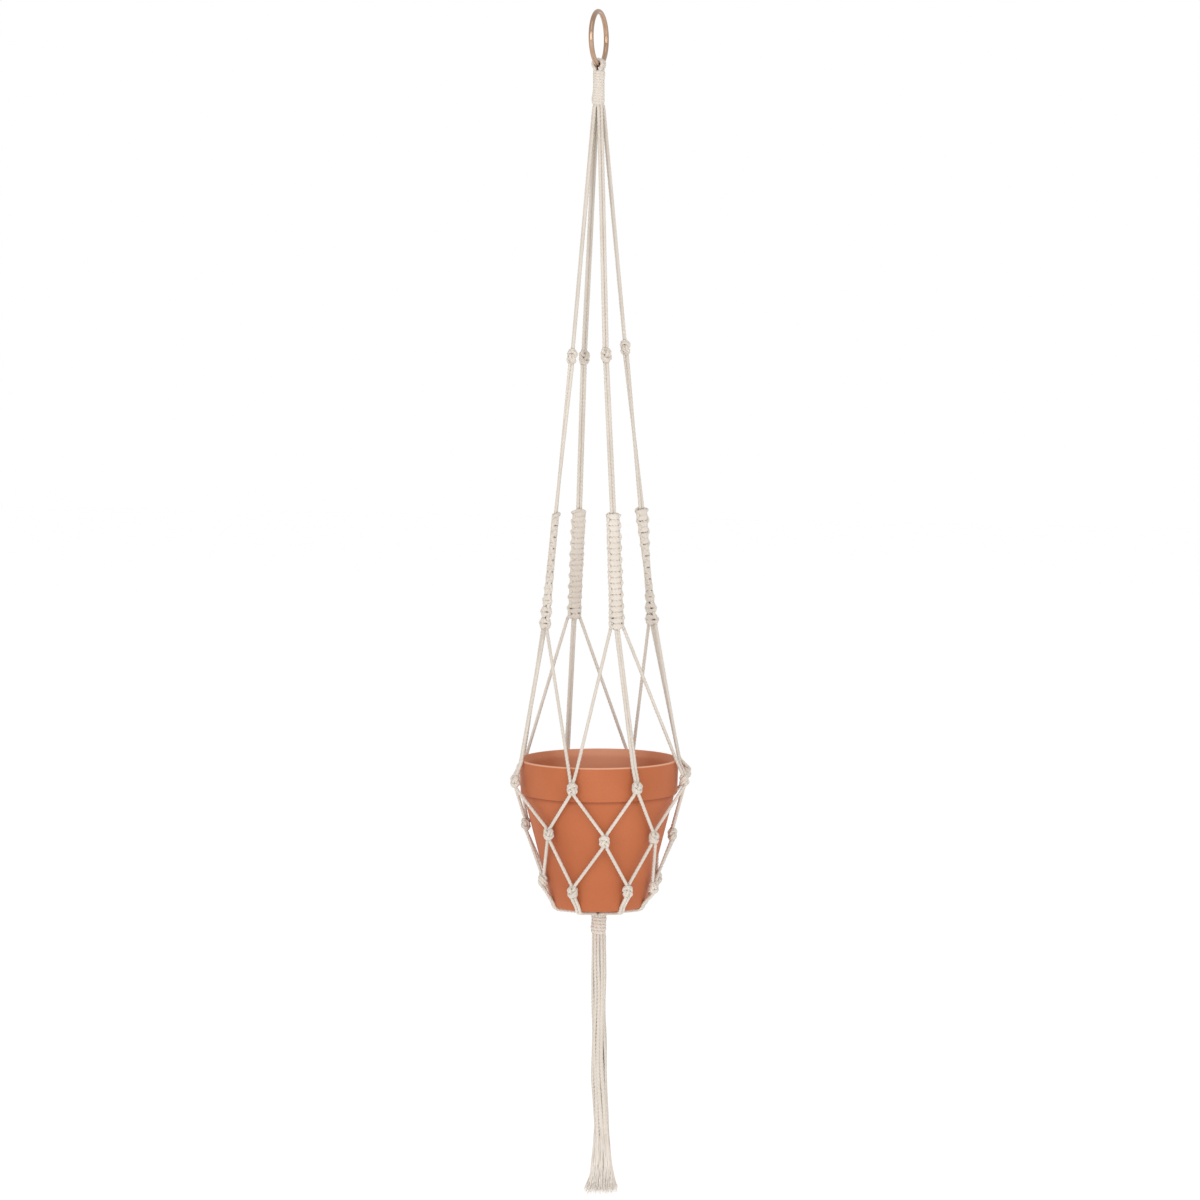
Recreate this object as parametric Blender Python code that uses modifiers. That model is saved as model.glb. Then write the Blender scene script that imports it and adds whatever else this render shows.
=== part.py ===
"""A hanging macrame plant holder with its clay pot, as an assembly of separate parts.

Metres, +Z up. The origin is the point inside the top of the metal ring that rests on a hook, and
everything hangs below it round the Z axis. The ring stands in the YZ plane.

Eight cords fold over the ring, a wrap gathers them, and they part into four arms of two cords. Each
arm has an overhand knot and a sinnet, which is a braid of square knots made with two more cords. Below
the sinnets sixteen cords are netted round the pot in three rows of eight knots, and a second wrap
gathers them under the pot into a tassel.
"""

import math

import bmesh
import bpy
from mathutils import Vector

# Cord
CORD = 0.0036
PAIR_SPACING = 0.0034
GAP = 0.0003

# Metal ring
RING_RADIUS = 0.026
RING_WIRE = 0.005
RING_CENTRE = Vector((0, 0, RING_WIRE / 2 - RING_RADIUS))
WIRE_BOTTOM = RING_CENTRE.z - RING_RADIUS

# Cords folded over the ring, and the wrap that gathers them
LOOP_CORDS = 4
LOOP_SPACING = 0.0031
LOOP_CLEARANCE = 0.0005
TOP_WRAP = {"top": -0.0540, "bottom": -0.0895, "radius": 0.0062, "turns": 13}

# Arms: all four have their pieces at these distances from the axis
ARM_START = {"radius": 0.0048, "height": -0.0922}
OVERHAND_RADIUS = 0.0285
SINNET_TOP_RADIUS = 0.0460
SINNET_BOTTOM_RADIUS = 0.0580
OVERHAND_HALF = Vector((0.0050, 0.0046, 0.0068))
SINNET_HALF = (0.0078, 0.0037)
SQUARE_KNOTS = 10
SINGLE_OFFSET = 0.0054
SINGLE_DROP = 0.0016
CENTRE_DROP = 0.0009

# Each arm, tied by hand: its direction at the overhand knot and at the sinnet, the heights of the
# knot and of the sinnet's ends, and the sinnet's slow twist from its top to its bottom, in degrees.
ARMS = {
    "front": {"knot_at": -58.7, "sinnet_at": -55.3, "knot": -0.3356,
              "top": -0.4916, "bottom": -0.6049, "twist": (4, -4)},
    "right": {"knot_at": 38.8, "sinnet_at": 38.3, "knot": -0.3280,
              "top": -0.4903, "bottom": -0.6075, "twist": (-78, 20)},
    "back": {"knot_at": 137.8, "sinnet_at": 132.5, "knot": -0.3386,
             "top": -0.4934, "bottom": -0.6037, "twist": (-6, 4)},
    "left": {"knot_at": 218.8, "sinnet_at": 218.3, "knot": -0.3367,
             "top": -0.4933, "bottom": -0.6076, "twist": (-34, 8)},
}

# The net's knots, row by row down the pot: direction in degrees, distance from the axis, height.
# A knot of one row hangs between the knots of the same number and the next number in the row above.
NET_ROWS = (
    ((-47.6, 0.0870, -0.7593), (2.7, 0.0880, -0.7595), (26.8, 0.0895, -0.7555), (83.8, 0.0870, -0.7570),
     (129.8, 0.0870, -0.7575), (171.8, 0.0865, -0.7550), (215.8, 0.0880, -0.7595), (269.2, 0.0870, -0.7597)),
    ((-26.3, 0.0750, -0.8124), (17.8, 0.0740, -0.8165), (55.0, 0.0750, -0.8110), (107.0, 0.0750, -0.8120),
     (151.0, 0.0750, -0.8090), (195.0, 0.0735, -0.8065), (245.2, 0.0750, -0.8082), (291.1, 0.0750, -0.8129)),
    ((-8.1, 0.0605, -0.8667), (28.4, 0.0605, -0.8631), (81.0, 0.0605, -0.8620), (129.0, 0.0605, -0.8640),
     (173.0, 0.0605, -0.8620), (218.8, 0.0605, -0.8601), (261.5, 0.0605, -0.8665), (315.0, 0.0605, -0.8657)),
)
NET_KNOT_HALF = Vector((0.0052, 0.0045, 0.0062))
KNOT_REACH = 0.0074
FIRST_GATHER_ANGLE = -14.0

# Clay pot, a little conical, with a rim band
POT_TOP = -0.7396
POT_HEIGHT = 0.1486
POT_BOTTOM = POT_TOP - POT_HEIGHT
RIM_RADIUS = 0.0800
RIM_FOOT_RADIUS = 0.0785
RIM_HEIGHT = 0.0342
WALL_TOP_RADIUS = 0.0762
BASE_RADIUS = 0.0470
BASE_EDGE = 0.0045
RIM_WALL = 0.0080
LIP_WIDTH = 0.0032
LIP_BEVEL = 0.0060
LIP_ROUND = 0.0012
WALL = 0.0075
FLOOR = 0.0100
DRAIN_RADIUS = 0.0060

# The wrap under the pot, and the tassel
BOTTOM_WRAP = {"top": -0.8978, "bottom": -0.9178, "radius": 0.0078, "turns": 6}
CROWN = {"height": 0.0040, "radius": 0.0088}
GATHER_RADIUS = 0.0094
TASSEL_TOP = -0.9215
TASSEL_OUTLINE = (
    (0.0068, TASSEL_TOP), (0.0070, -0.9300), (0.0070, -1.0050), (0.0078, -1.0400), (0.0085, -1.0650),
    (0.0081, -1.1150), (0.0090, -1.1400), (0.0108, -1.1560), (0.0125, -1.1650), (0.0162, -1.1770),
    (0.0165, -1.1825),
)

# Fineness of the solids
CORD_BEVEL = 1
LOOP_STEPS = 12
WRAP_STEPS = 14
POT_STEPS = 48


def clear_scene():
    for item in list(bpy.data.objects):
        bpy.data.objects.remove(item, do_unlink=True)


def make_collection(name):
    collection = bpy.data.collections.new(name)
    bpy.context.scene.collection.children.link(collection)
    return collection


def make_material(name, colour, roughness, metallic=0.0):
    material = bpy.data.materials.new(name)
    material.use_nodes = True
    shader = material.node_tree.nodes["Principled BSDF"]
    shader.inputs["Base Color"].default_value = (*colour, 1.0)
    shader.inputs["Roughness"].default_value = roughness
    shader.inputs["Metallic"].default_value = metallic
    return material


clear_scene()
PARTS = make_collection("hanging_macrame_planter")
COTTON = make_material("cotton_cord", (0.78, 0.72, 0.63), 0.9)
BRASS = make_material("brass", (0.78, 0.52, 0.34), 0.25, 1.0)
CLAY = make_material("terracotta", (0.55, 0.18, 0.08), 0.8)


def polar(degrees, radius, height):
    """A point by its direction round the axis, its distance from it and its height."""
    angle = math.radians(degrees)
    return Vector((radius * math.cos(angle), radius * math.sin(angle), height))


def across(point):
    """The level direction that runs round the axis at a point."""
    return Vector((-point.y, point.x, 0)).normalized()


def at_radius(point, radius):
    """The point moved out or in to a distance from the axis."""
    level = Vector((point.x, point.y, 0)).normalized() * radius
    return Vector((level.x, level.y, point.z))


def at_height(start, end, height):
    return start.lerp(end, (height - start.z) / (end.z - start.z))


def short_of(start, end, distance):
    """The point on the way from start to end that lies a distance before end."""
    return end + (start - end).normalized() * distance


def add_object(name, data, material):
    item = bpy.data.objects.new(name, data)
    PARTS.objects.link(item)
    data.materials.append(material)
    return item


def face_outwards(bm):
    bmesh.ops.recalc_face_normals(bm, faces=bm.faces)
    if bm.calc_volume(signed=True) < 0:
        bmesh.ops.reverse_faces(bm, faces=bm.faces)


def mesh_object(name, bm):
    face_outwards(bm)
    mesh = bpy.data.meshes.new(name)
    bm.to_mesh(mesh)
    bm.free()
    mesh.shade_smooth()
    mesh.set_sharp_from_angle(angle=math.radians(50))
    return add_object(name, mesh, COTTON)


def cord_tube(name, points):
    """One cord along straight stretches between points, as a curve with a round bevel."""
    curve = bpy.data.curves.new(name, "CURVE")
    curve.dimensions = "3D"
    curve.bevel_depth = CORD / 2
    curve.bevel_resolution = CORD_BEVEL
    curve.use_fill_caps = True
    spline = curve.splines.new("POLY")
    spline.points.add(len(points) - 1)
    for target, point in zip(spline.points, points):
        target.co = (*point, 1.0)
    return add_object(name, curve, COTTON)


def mesh_from_curve(item):
    """Replaces a curve object by the mesh it makes, with its caps welded on."""
    evaluated = item.evaluated_get(bpy.context.evaluated_depsgraph_get())
    mesh = bpy.data.meshes.new_from_object(evaluated)
    bm = bmesh.new()
    bm.from_mesh(mesh)
    bmesh.ops.remove_doubles(bm, verts=bm.verts, dist=1e-6)
    face_outwards(bm)
    bm.to_mesh(mesh)
    bm.free()
    name = item.name
    matrix = item.matrix_world.copy()
    bpy.data.objects.remove(item)
    made = add_object(name, mesh, COTTON)
    made.matrix_world = matrix
    return made


def loft(name, rings):
    """A closed solid of cord through rings of points, for a section that turns or changes on its way."""
    bm = bmesh.new()
    loops = [[bm.verts.new(point) for point in ring] for ring in rings]
    count = len(loops[0])
    for upper, lower in zip(loops, loops[1:]):
        for i in range(count):
            j = (i + 1) % count
            bm.faces.new((upper[i], upper[j], lower[j], lower[i]))
    bm.faces.new(loops[0])
    bm.faces.new(loops[-1])
    return mesh_object(name, bm)


def pair_section():
    """The outline of two cords side by side: (across, out) of each of its points."""
    angles = (-120, -60, 0, 60, 120)
    half = PAIR_SPACING / 2
    right = []
    for angle in angles:
        turn = math.radians(angle)
        right.append((half + CORD / 2 * math.cos(turn), CORD / 2 * math.sin(turn)))
    waist = CORD / 4
    left = [(-x, -y) for x, y in right]
    return right + [(0, waist)] + left + [(0, -waist)]


def tangents(points):
    ways = []
    for i in range(len(points)):
        before = points[max(i - 1, 0)]
        after = points[min(i + 1, len(points) - 1)]
        ways.append((after - before).normalized())
    return ways


def pair_rings(points):
    """Rings of two cords side by side round the axis, at each of the points."""
    rings = []
    for point, way in zip(points, tangents(points)):
        side = (across(point) - way * across(point).dot(way)).normalized()
        out = side.cross(way)
        rings.append([point + side * x + out * y for x, y in pair_section()])
    return rings


def ellipsoid(bm, centre, half, up):
    """A knot's body: half holds its half sizes round the axis, outwards and along up."""
    side = across(centre)
    out = up.cross(side)
    made = bmesh.ops.create_uvsphere(bm, u_segments=8, v_segments=6, radius=1.0)
    for vert in made["verts"]:
        x, y, z = vert.co
        vert.co = centre + side * (x * half.x) + out * (y * half.y) + up * (z * half.z)


def knot_object(name, centre, half, up=Vector((0, 0, 1))):
    bm = bmesh.new()
    ellipsoid(bm, centre, half, up)
    return mesh_object(name, bm)


def add_screw(item, steps):
    screw = item.modifiers.new("turn", "SCREW")
    screw.axis = "Z"
    screw.steps = steps
    screw.render_steps = steps
    screw.use_merge_vertices = True
    screw.merge_threshold = 1e-5
    screw.use_smooth_shade = True


def turned(name, profile, steps, material, closed=False):
    """A turned solid. The profile is (distance from the axis, height) down its outer side."""
    mesh = bpy.data.meshes.new(name)
    edges = [(i, i + 1) for i in range(len(profile) - 1)]
    if closed:
        edges.append((len(profile) - 1, 0))
    mesh.from_pydata([(r, 0, z) for r, z in profile], edges, [])
    item = add_object(name, mesh, material)
    add_screw(item, steps)
    return item


def arc(centre, radius, first, last, count):
    """Points (distance from the axis, height) of an arc, between two angles in degrees."""
    angles = [math.radians(first + (last - first) * i / (count - 1)) for i in range(count)]
    return [(centre[0] + radius * math.cos(a), centre[1] + radius * math.sin(a)) for a in angles]


def join_into(target, others):
    """Joins other solids into target with Boolean unions, and removes them."""
    for other in others:
        union = target.modifiers.new("join", "BOOLEAN")
        union.operation = "UNION"
        union.object = other
        evaluated = target.evaluated_get(bpy.context.evaluated_depsgraph_get())
        joined = bpy.data.meshes.new_from_object(evaluated)
        target.modifiers.clear()
        old = target.data
        target.data = joined
        bpy.data.meshes.remove(old)
        bpy.data.objects.remove(other)
    target.data.name = target.name


# The ring and the head


def make_hanging_ring():
    bpy.ops.mesh.primitive_torus_add(
        major_radius=RING_RADIUS, minor_radius=RING_WIRE / 2, major_segments=44, minor_segments=10
    )
    ring = bpy.context.object
    ring.name = "hanging_ring"
    ring.location = RING_CENTRE
    ring.rotation_euler = (0, math.radians(90), 0)
    ring.data.materials.append(BRASS)
    ring.data.shade_smooth()
    for collection in list(ring.users_collection):
        collection.objects.unlink(ring)
    PARTS.objects.link(ring)


def loop_section():
    """Four cords side by side along the wire: (along the wire, outwards) of the outline's points."""
    first = -(LOOP_CORDS - 1) / 2 * LOOP_SPACING
    centres = [first + i * LOOP_SPACING for i in range(LOOP_CORDS)]
    waist = CORD / 3.2
    outer = []
    for i, centre in enumerate(centres):
        outer += [(centre - CORD / 5, CORD / 2), (centre + CORD / 5, CORD / 2)]
        if i < LOOP_CORDS - 1:
            outer.append((centre + LOOP_SPACING / 2, waist))
    edge = centres[-1] + CORD / 2
    inner = [(-y, -out) for y, out in outer]
    return [(-edge, 0)] + outer + [(edge, 0)] + inner


def make_ring_loops():
    """The four cords where they fold over the ring's wire, down to the wrap on both sides."""
    reach = RING_WIRE / 2 + LOOP_CLEARANCE + CORD / 2
    foot = TOP_WRAP["top"] + GAP
    turns = [math.radians(180 * i / LOOP_STEPS) for i in range(LOOP_STEPS + 1)]
    rings = []
    for angle in [None, *turns, None]:
        ring = []
        for y, out in loop_section():
            rise = RING_RADIUS - math.sqrt(RING_RADIUS**2 - y**2)
            if angle is None:
                side = 1 if not rings else -1
                ring.append(Vector((side * (reach + out), y, foot)))
                continue
            x = (reach + out) * math.cos(angle)
            z = WIRE_BOTTOM + rise + (reach + out) * math.sin(angle)
            ring.append(Vector((x, y, z)))
        rings.append(ring)
    loft("ring_loops", rings)


def wrap_profile(wrap):
    """The scalloped side of a wrap, one bulge for each turn of its cord, from top to bottom."""
    pitch = (wrap["top"] - wrap["bottom"]) / wrap["turns"]
    profile = []
    for i in range(wrap["turns"]):
        top = wrap["top"] - i * pitch
        profile += [(wrap["radius"] - CORD / 6, top), (wrap["radius"], top - pitch / 2)]
    profile.append((wrap["radius"] - CORD / 6, wrap["bottom"]))
    return profile


def make_top_wrap():
    profile = [(0, TOP_WRAP["top"]), *wrap_profile(TOP_WRAP), (0, TOP_WRAP["bottom"])]
    turned("top_wrap", profile, WRAP_STEPS, COTTON)


# The arms


def arm_points(arm):
    """The arm's line: where it leaves the wrap, its knot, and its sinnet's top and bottom."""
    return {
        "start": polar(arm["knot_at"], ARM_START["radius"], ARM_START["height"]),
        "knot": polar(arm["knot_at"], OVERHAND_RADIUS, arm["knot"]),
        "top": polar(arm["sinnet_at"], SINNET_TOP_RADIUS, arm["top"]),
        "bottom": polar(arm["sinnet_at"], SINNET_BOTTOM_RADIUS, arm["bottom"]),
    }


def make_upper_arm(name, arm):
    """The two cords from the wrap to the overhand knot, the knot, and the cords to the sinnet."""
    at = arm_points(arm)
    past_knot = OVERHAND_HALF.z + GAP * 2
    above = short_of(at["start"], at["knot"], past_knot)
    below = short_of(at["top"], at["knot"], past_knot)
    sinnet_top = short_of(at["knot"], at["top"], GAP)
    loft(f"{name}_upper_cords", pair_rings([at["start"], at["start"].lerp(above, 0.5), above]))
    knot_object(f"{name}_overhand_knot", at["knot"], OVERHAND_HALF, (above - below).normalized())
    loft(f"{name}_middle_cords", pair_rings([below, below.lerp(sinnet_top, 0.5), sinnet_top]))


def sinnet_section(half_width, half_depth):
    """An oval a little squarer than an ellipse: (across, out) of its eight points."""
    section = []
    for i in range(8):
        angle = math.radians(45 * i)
        x = math.copysign(abs(math.cos(angle)) ** 0.8, math.cos(angle))
        y = math.copysign(abs(math.sin(angle)) ** 0.8, math.sin(angle))
        section.append((half_width * x, half_depth * y))
    return section


def make_sinnet(name, arm):
    """The band of square knots: wide at each knot, narrow between, with the arm's slow twist."""
    at = arm_points(arm)
    down = (at["bottom"] - at["top"]).normalized()
    rings = []
    steps = 2 * SQUARE_KNOTS
    for i in range(steps + 1):
        share = i / steps
        centre = at["top"].lerp(at["bottom"], share)
        turn = math.radians(arm["twist"][0] + (arm["twist"][1] - arm["twist"][0]) * share)
        side = across(centre)
        out = side.cross(down).normalized()
        wide = math.cos(turn) * side + math.sin(turn) * out
        deep = math.cos(turn) * out - math.sin(turn) * side
        swell = 1.0 if i % 2 else 0.86
        section = sinnet_section(SINNET_HALF[0] * swell, SINNET_HALF[1] * swell)
        rings.append([centre + wide * x + deep * y for x, y in section])
    loft(f"{name}_sinnet", rings)


def over_rim(start, end):
    """A cord's points from start to end, led over the pot's rim instead of through it."""
    radius = RIM_RADIUS + CORD / 2 + GAP * 2
    crossing = at_height(start, end, POT_TOP - 0.002)
    return [start, at_radius(crossing, radius), end]


def make_lower_arm(name, arm, number):
    """The four cords from a sinnet to the net's first row: a pair down, and one to each side."""
    at = arm_points(arm)
    down = (at["bottom"] - at["top"]).normalized()
    start = at["bottom"] + down * CENTRE_DROP
    knots = [polar(*knot) for knot in NET_ROWS[0]]
    own = knots[2 * number]
    loft(f"{name}_centre_cords", pair_rings(over_rim(start, short_of(start, own, KNOT_REACH))))
    for side, step in (("left", -1), ("right", 1)):
        begin = at["bottom"] + down * SINGLE_DROP + across(start) * SINGLE_OFFSET * step
        knot = knots[(2 * number + step) % len(knots)]
        end = short_of(begin, knot, KNOT_REACH)
        cord_tube(f"{name}_{side}_cord", over_rim(begin, end))


# The net


def make_net_knot(row, number):
    """A knot of the first or second row, with its two cords down to the next row."""
    centre = polar(*NET_ROWS[row][number])
    name = f"net_row_{row + 1}_knot_{number + 1}"
    knot = knot_object(name, centre, NET_KNOT_HALF)
    cords = []
    for step in (0, -1):
        below = polar(*NET_ROWS[row + 1][(number + step) % len(NET_ROWS[row])])
        points = [centre, short_of(centre, below, KNOT_REACH)]
        cords.append(mesh_from_curve(cord_tube(f"cord_{step}", points)))
    join_into(knot, cords)


def under_pot(knot, number):
    """The way of a pair of cords from a knot of the last row, round the pot's edge, to the gather."""
    gather_angle = FIRST_GATHER_ANGLE + 360 / len(NET_ROWS[2]) * number
    edge = (BASE_RADIUS - BASE_EDGE, POT_BOTTOM + BASE_EDGE)
    round_edge = arc(edge, BASE_EDGE + CORD / 2 + GAP * 2, 0, -90, 4)
    points = [polar(*knot)]
    points += [polar(knot[0], radius, height) for radius, height in round_edge]
    points.append(polar(gather_angle, GATHER_RADIUS, BOTTOM_WRAP["top"] + CORD / 2 + GAP))
    return points


def make_last_row_knot(number):
    """A knot of the last row, with its two cords side by side under the pot."""
    knot_place = NET_ROWS[2][number]
    name = f"net_row_3_knot_{number + 1}"
    knot = knot_object(name, polar(*knot_place), NET_KNOT_HALF)
    pair = loft("pair", pair_rings(under_pot(knot_place, number)))
    join_into(knot, [pair])


# The wrap under the pot, and the tassel


def make_bottom_wrap():
    """The wrap, with the crown of gathered cords that stands in its top."""
    top = BOTTOM_WRAP["top"]
    crown = [(0, top + CROWN["height"]), (CROWN["radius"] * 0.6, top + CROWN["height"] * 0.9)]
    profile = [*crown, (CROWN["radius"], top), *wrap_profile(BOTTOM_WRAP), (0, BOTTOM_WRAP["bottom"])]
    turned("bottom_wrap", profile, WRAP_STEPS, COTTON)


def make_tassel():
    foot = TASSEL_OUTLINE[-1][1]
    turned("tassel", [(0, TASSEL_TOP), *TASSEL_OUTLINE, (0, foot)], WRAP_STEPS, COTTON)


# The pot


def pot_profile():
    """The pot's section, down its outside and up its inside, open at the drain hole."""
    foot = POT_TOP - RIM_HEIGHT
    floor = POT_BOTTOM + FLOOR
    slope = (WALL_TOP_RADIUS - BASE_RADIUS) / (foot - POT_BOTTOM)
    inner_floor = BASE_RADIUS - WALL + slope * FLOOR - BASE_EDGE
    outside = arc((RIM_RADIUS - LIP_ROUND, POT_TOP - LIP_ROUND), LIP_ROUND, 90, 0, 4)
    outside += [(RIM_FOOT_RADIUS, foot + 0.0015), (RIM_FOOT_RADIUS - 0.0015, foot), (WALL_TOP_RADIUS, foot)]
    outside += arc((BASE_RADIUS - BASE_EDGE, POT_BOTTOM + BASE_EDGE), BASE_EDGE, -10, -90, 4)
    hole = [(DRAIN_RADIUS, POT_BOTTOM), (DRAIN_RADIUS, floor)]
    inside = [(inner_floor, floor), (inner_floor + BASE_EDGE * 0.8, floor + BASE_EDGE)]
    inside += [(WALL_TOP_RADIUS - WALL, foot), (RIM_RADIUS - RIM_WALL, POT_TOP - LIP_BEVEL)]
    inside += [(RIM_RADIUS - LIP_WIDTH, POT_TOP)]
    return outside + hole + inside


def make_pot():
    turned("clay_pot", pot_profile(), POT_STEPS, CLAY, closed=True)


def build():
    make_hanging_ring()
    make_ring_loops()
    make_top_wrap()
    for number, (name, arm) in enumerate(ARMS.items()):
        make_upper_arm(name, arm)
        make_sinnet(name, arm)
        make_lower_arm(name, arm, number)
    for number in range(len(NET_ROWS[0])):
        make_net_knot(0, number)
        make_net_knot(1, number)
        make_last_row_knot(number)
    make_bottom_wrap()
    make_tassel()
    make_pot()


build()
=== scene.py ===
"""The looks of a hanging macrame planter: twisted cotton cord, its knots, a clay pot and a brass ring.

Metres, +Z up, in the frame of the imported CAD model. The origin is where the ring rests on its hook.

Every cord of the sling is one line of points from end to end, and a piece holds the stretches of the
cords that belong to it, so neighbouring pieces meet without a seam. The overhand knot is tied loosely
and then drawn tight by a short simulation of cords that push each other apart.
"""

import math

import bpy
import numpy as np
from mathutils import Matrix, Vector


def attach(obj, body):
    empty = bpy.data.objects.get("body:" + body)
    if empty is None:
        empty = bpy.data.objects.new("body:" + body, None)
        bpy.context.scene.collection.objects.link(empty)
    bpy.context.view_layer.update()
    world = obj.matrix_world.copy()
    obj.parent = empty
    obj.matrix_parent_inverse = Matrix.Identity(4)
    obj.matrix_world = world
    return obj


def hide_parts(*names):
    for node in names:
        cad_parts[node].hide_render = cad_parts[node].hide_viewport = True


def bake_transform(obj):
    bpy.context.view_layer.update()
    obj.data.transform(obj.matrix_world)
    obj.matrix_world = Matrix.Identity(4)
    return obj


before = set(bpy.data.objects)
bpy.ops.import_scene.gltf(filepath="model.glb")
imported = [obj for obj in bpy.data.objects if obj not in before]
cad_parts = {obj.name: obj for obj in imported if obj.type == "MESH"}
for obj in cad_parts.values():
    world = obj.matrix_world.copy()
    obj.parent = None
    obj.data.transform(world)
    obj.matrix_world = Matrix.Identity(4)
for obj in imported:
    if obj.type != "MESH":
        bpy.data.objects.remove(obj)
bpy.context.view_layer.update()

# Cord: three plies laid up with a right-hand twist
CORD = 0.0036
LAY = 0.0115
PLY_RADIUS_SHARE = 0.68
POINTS_ROUND = 12
RING_STEP = 0.0012
# Half the spacing of two cords that run side by side
PAIR_HALF = 0.0015
# The air between a cord and the pot
CLEARANCE = 0.0006
# How much each cord's lay is turned, and its fibres are shifted, from the cord before
LAY_TURN = 2.4
LAY_SHIFT = 0.37

# Metal ring
RING_RADIUS = 0.026
RING_WIRE = 0.005
RING_CENTRE_Z = RING_WIRE / 2 - RING_RADIUS
WIRE_BOTTOM = RING_CENTRE_Z - RING_RADIUS

# Cords folded over the ring, and the wrap that gathers them
LOOP_CORDS = 4
LOOP_SPACING = 0.0031
LOOP_CLEARANCE = 0.0005
# How a folded cord's legs close up under the wire: (distance from the ring's plane, share of the cord's
# place along the wire, height)
LOOP_LEGS = (
    (0.0043, 0.97, -0.0512), (0.0027, 0.86, -0.0537), (0.0021, 0.70, -0.0567), (0.0019, 0.60, -0.0610),
)
TOP_WRAP = {"top": -0.0540, "bottom": -0.0895, "radius": 0.0062, "turns": 13}
# How flat the wrapping cords are pressed
WRAP_PRESSED = 0.30
# Where a wrap's tucked ends push it out: (direction, height, how far up and down, how far out)
TOP_BUMPS = ((205.0, -0.0835, 0.0060, 0.0017), (17.0, -0.0590, 0.0030, 0.0008))
BOTTOM_BUMPS = ((20.0, -0.9020, 0.0025, 0.0007), (200.0, -0.9120, 0.0040, 0.0010))

# Arms
ARM_START = {"radius": 0.0048, "height": -0.0922}
OVERHAND_RADIUS = 0.0285
SINNET_TOP_RADIUS = 0.0460
SINNET_BOTTOM_RADIUS = 0.0580
SQUARE_KNOTS = 10
# A braid's knots as beads: how much deeper each is at its middle, how far its bars are drawn together, and
# the share of the braid's length from which it is looser
FLAT_BEADS = {"deep": 0.12, "pull": 0.0, "loose_from": 0.84}
ROUND_BEADS = {"deep": 0.24, "pull": 0.0003, "loose_from": 0.72}
# How a working cord comes from behind the fillers at the top of a braid: (across, out, down)
BRAID_START = (
    (-0.0014, -0.0029, -0.0008), (0.0020, -0.0030, -0.0008),
    (0.0046, -0.0025, 0.0002), (0.0066, -0.0010, 0.0018),
)
# How much further the right-hand one stands out where it turns
BRAID_EAR = 0.0014
ARMS = {
    "front": {"knot_at": -58.7, "sinnet_at": -55.3, "knot": -0.3356, "turned": 20, "mirrored": False,
              "top": -0.4916, "bottom": -0.6049, "twist": (4, -4), "beads": FLAT_BEADS},
    "right": {"knot_at": 38.8, "sinnet_at": 38.3, "knot": -0.3280, "turned": -15, "mirrored": True,
              "top": -0.4903, "bottom": -0.6075, "twist": (-78, 20), "beads": ROUND_BEADS},
    "back": {"knot_at": 137.8, "sinnet_at": 132.5, "knot": -0.3386, "turned": 200, "mirrored": False,
             "top": -0.4934, "bottom": -0.6037, "twist": (-6, 4), "beads": FLAT_BEADS},
    "left": {"knot_at": 218.8, "sinnet_at": 218.3, "knot": -0.3367, "turned": 165, "mirrored": True,
             "top": -0.4933, "bottom": -0.6076, "twist": (-34, 8), "beads": ROUND_BEADS},
}

# The net's knots, row by row: direction in degrees, distance from the axis, height
NET_ROWS = (
    ((-47.6, 0.0870, -0.7593), (2.7, 0.0880, -0.7595), (26.8, 0.0895, -0.7555),
     (83.8, 0.0870, -0.7570), (129.8, 0.0870, -0.7575), (171.8, 0.0865, -0.7550),
     (215.8, 0.0880, -0.7595), (269.2, 0.0870, -0.7597)),
    ((-26.3, 0.0750, -0.8124), (17.8, 0.0740, -0.8165), (55.0, 0.0750, -0.8110),
     (107.0, 0.0750, -0.8120), (151.0, 0.0750, -0.8090), (195.0, 0.0735, -0.8065),
     (245.2, 0.0750, -0.8082), (291.1, 0.0750, -0.8129)),
    ((-8.1, 0.0605, -0.8667), (28.4, 0.0605, -0.8631), (81.0, 0.0605, -0.8620),
     (129.0, 0.0605, -0.8640), (173.0, 0.0605, -0.8620), (218.8, 0.0605, -0.8601),
     (261.5, 0.0605, -0.8665), (315.0, 0.0605, -0.8657)),
)
# Where the first pair of cords meets the wrap under the pot, and how far each knot is turned, in degrees
FIRST_GATHER_ANGLE = -14.0
NET_TURNS = (12, 190, -14, 172, 8, 186, -10, 170, 16, 194, -6, 176)

# Clay pot
POT_TOP = -0.7396
POT_HEIGHT = 0.1486
POT_BOTTOM = POT_TOP - POT_HEIGHT
RIM_RADIUS = 0.0800
RIM_FOOT_RADIUS = 0.0785
RIM_HEIGHT = 0.0342
WALL_TOP_RADIUS = 0.0762
BASE_RADIUS = 0.0470
BASE_EDGE = 0.0045
RIM_WALL = 0.0080
LIP_WIDTH = 0.0032
LIP_BEVEL = 0.0060
WALL = 0.0075
FLOOR = 0.0100
DRAIN_RADIUS = 0.0060
# The neck pressed in just under the rim
NECK_DEPTH = 0.0013
NECK_HEIGHT = 0.0045
CORNER_ROUND = 0.0022
LEDGE_ROUND = 0.0006
CLAY_WOBBLE = 0.00012
# The direction in degrees of the inner side that is painted palest: painted light on the far inner wall, on
# the far side from the camera
PAINTED_LIGHT_SIDE = 105.0

# The wrap under the pot, and the tassel
BOTTOM_WRAP = {"top": -0.8978, "bottom": -0.9178, "radius": 0.0078, "turns": 6}
GATHER_RADIUS = 0.0094

# Camera: it looks at the planter's axis from its own front, a little from above
CAMERA_TURN = 16.8
CAMERA_DISTANCE = 3.745
CAMERA_TILT = 4.8
CAMERA_AIM_Z = -0.5804
CAMERA_AIM_RIGHT = 0.0012
CAMERA_LENS = 112.35
SENSOR = 36.0

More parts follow.
